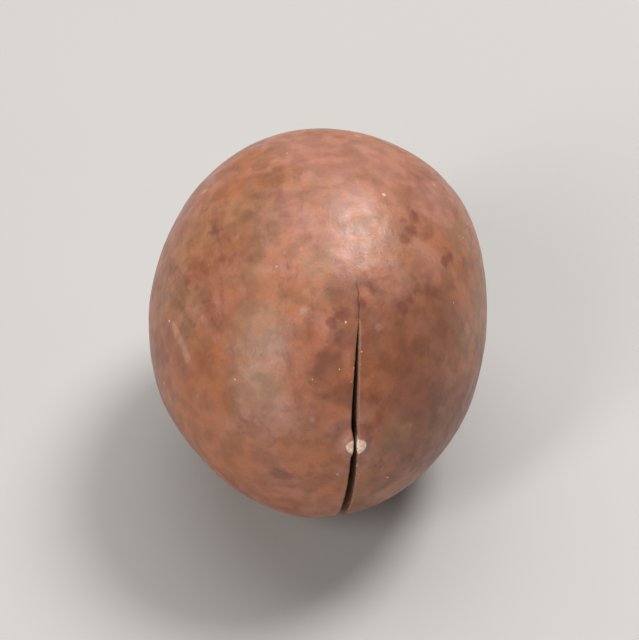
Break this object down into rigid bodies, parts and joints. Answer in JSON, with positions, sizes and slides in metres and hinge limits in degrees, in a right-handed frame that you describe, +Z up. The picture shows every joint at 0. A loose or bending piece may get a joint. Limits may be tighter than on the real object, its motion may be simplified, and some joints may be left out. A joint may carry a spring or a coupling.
{
  "type": "macadamia nut in shell",
  "caption": "Whole macadamia nut in its hard brown shell, sawn with a narrow slit through the pore for twisting open, with the loose pale kernel inside.",
  "frame": {"origin": "centre of the small flat spot under the shell that the nut lies on", "axes": "+Z up, -Y towards the pore end, so the nut lies with its long axis roughly along Y and its sawn slit running up and down the front"},
  "size_m": [0.0247, 0.0293, 0.024],
  "materials": {
    "shell": "satin, mottled brown",
    "kernel": "matte, ivory"
  },
  "bodies": {
    "root": {"shell": "shell", "kernel": "kernel"}
  },
  "joints": []
}
